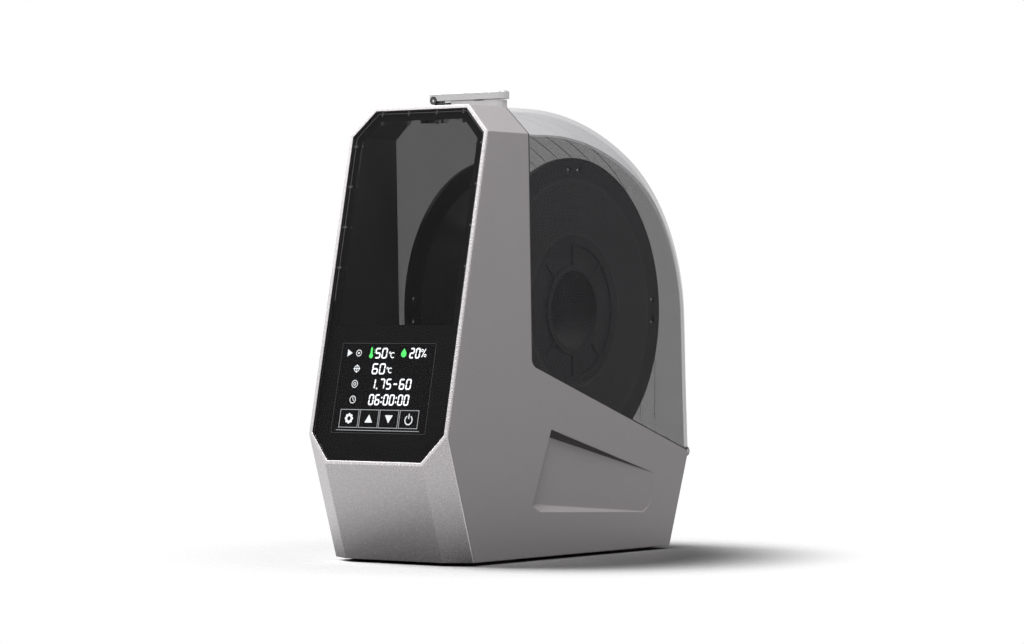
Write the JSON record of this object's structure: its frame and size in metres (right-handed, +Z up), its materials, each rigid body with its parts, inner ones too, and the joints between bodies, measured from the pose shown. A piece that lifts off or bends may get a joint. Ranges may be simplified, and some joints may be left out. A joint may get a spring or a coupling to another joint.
{
  "type": "filament dryer box",
  "caption": "Countertop dryer box for one filament reel: leaning smoked front with display, hinged smoked lid, flip-cap filament outlet, rollers, blower and heater inside.",
  "frame": {"origin": "centre of the footprint box, on the surface under the feet", "axes": "+X to the right seen from the front, +Y to the back, +Z up"},
  "size_m": [0.1134, 0.2924, 0.3124],
  "materials": {
    "case_grey": "fine-grained satin grey",
    "trim_silver": "satin silver paint",
    "smoked_glass": "smoked acrylic, polished",
    "smoked_lid": "smoked polycarbonate, polished outside",
    "black_plastic": "fine texture",
    "liner_grey": "fine texture",
    "soft_rubber": "matt",
    "steel": "ground",
    "heater_metal": "bare",
    "board_green": "solder mask",
    "board_parts": "moulded",
    "display_black": "gloss",
    "brass_pin": "plated",
    "magnet": "nickel plated",
    "reel_black": "satin",
    "filament": "satin black"
  },
  "bodies": {
    "housing": {"main_housing": "case_grey", "front_bezel": "trim_silver", "front_window": "smoked_glass", "base_plate": "liner_grey", "rubber_feet": "soft_rubber", "base_screws": "steel", "chamber_liner": "liner_grey", "roller_bearings": "steel", "blower_case": "black_plastic", "blower_motor": "steel", "heater_duct": "heater_metal", "heater_core": "heater_metal", "power_board": "board_green", "power_parts": "board_parts", "mains_inlet": "black_plastic", "inlet_pins": "brass_pin", "control_board": "board_green", "board_screws": "steel", "touch_pads": "soft_rubber", "display_module": "display_black", "sensor_board": "board_green", "sensor_chip": "board_parts", "lid_seal": "soft_rubber", "hinge_pins": "steel", "frame_magnets": "magnet"},
    "lid": {"lid_shell": "smoked_lid", "lid_magnets": "magnet", "outlet_base": "trim_silver", "tube_bush": "black_plastic", "outlet_hinge": "black_plastic", "outlet_pin": "steel"},
    "outlet_cap": {"outlet_cap": "trim_silver", "cap_pad": "soft_rubber"},
    "spool": {"reel_left": "reel_black", "reel_right": "reel_black", "filament_pack": "filament", "filament_layer": "filament"},
    "front_roller": {"front_axle": "steel", "front_rollers": "soft_rubber"},
    "rear_roller": {"rear_axle": "steel", "rear_rollers": "soft_rubber"},
    "impeller": {"blower_impeller": "black_plastic"}
  },
  "joints": [
    {"name": "lid_hinge", "type": "hinge", "parent": "housing", "child": "lid", "pos_m": [0, 0.143, 0.0668], "axis": [-1, 0, 0], "range_deg": [0, 85]},
    {"name": "outlet_cap_flip", "type": "hinge", "parent": "lid", "child": "outlet_cap", "pos_m": [-0.0268, -0.04185, 0.3072], "axis": [0, -1, 0], "range_deg": [0, 90]},
    {"name": "spool_spin", "type": "hinge", "parent": "housing", "child": "spool", "pos_m": [0, 0.0337, 0.166], "axis": [1, 0, 0], "continuous": true},
    {"name": "front_roller_spin", "type": "hinge", "parent": "housing", "child": "front_roller", "pos_m": [0, -0.02801, 0.07098], "axis": [1, 0, 0], "continuous": true},
    {"name": "rear_roller_spin", "type": "hinge", "parent": "housing", "child": "rear_roller", "pos_m": [0, 0.09541, 0.07098], "axis": [1, 0, 0], "continuous": true},
    {"name": "impeller_spin", "type": "hinge", "parent": "housing", "child": "impeller", "pos_m": [-0.006, 0.0632, 0.026], "axis": [0, 0, 1], "continuous": true}
  ],
  "couplings": [
    {"joint": "front_roller_spin", "follows": "spool_spin", "ratio": -11.556},
    {"joint": "rear_roller_spin", "follows": "spool_spin", "ratio": -11.556}
  ]
}
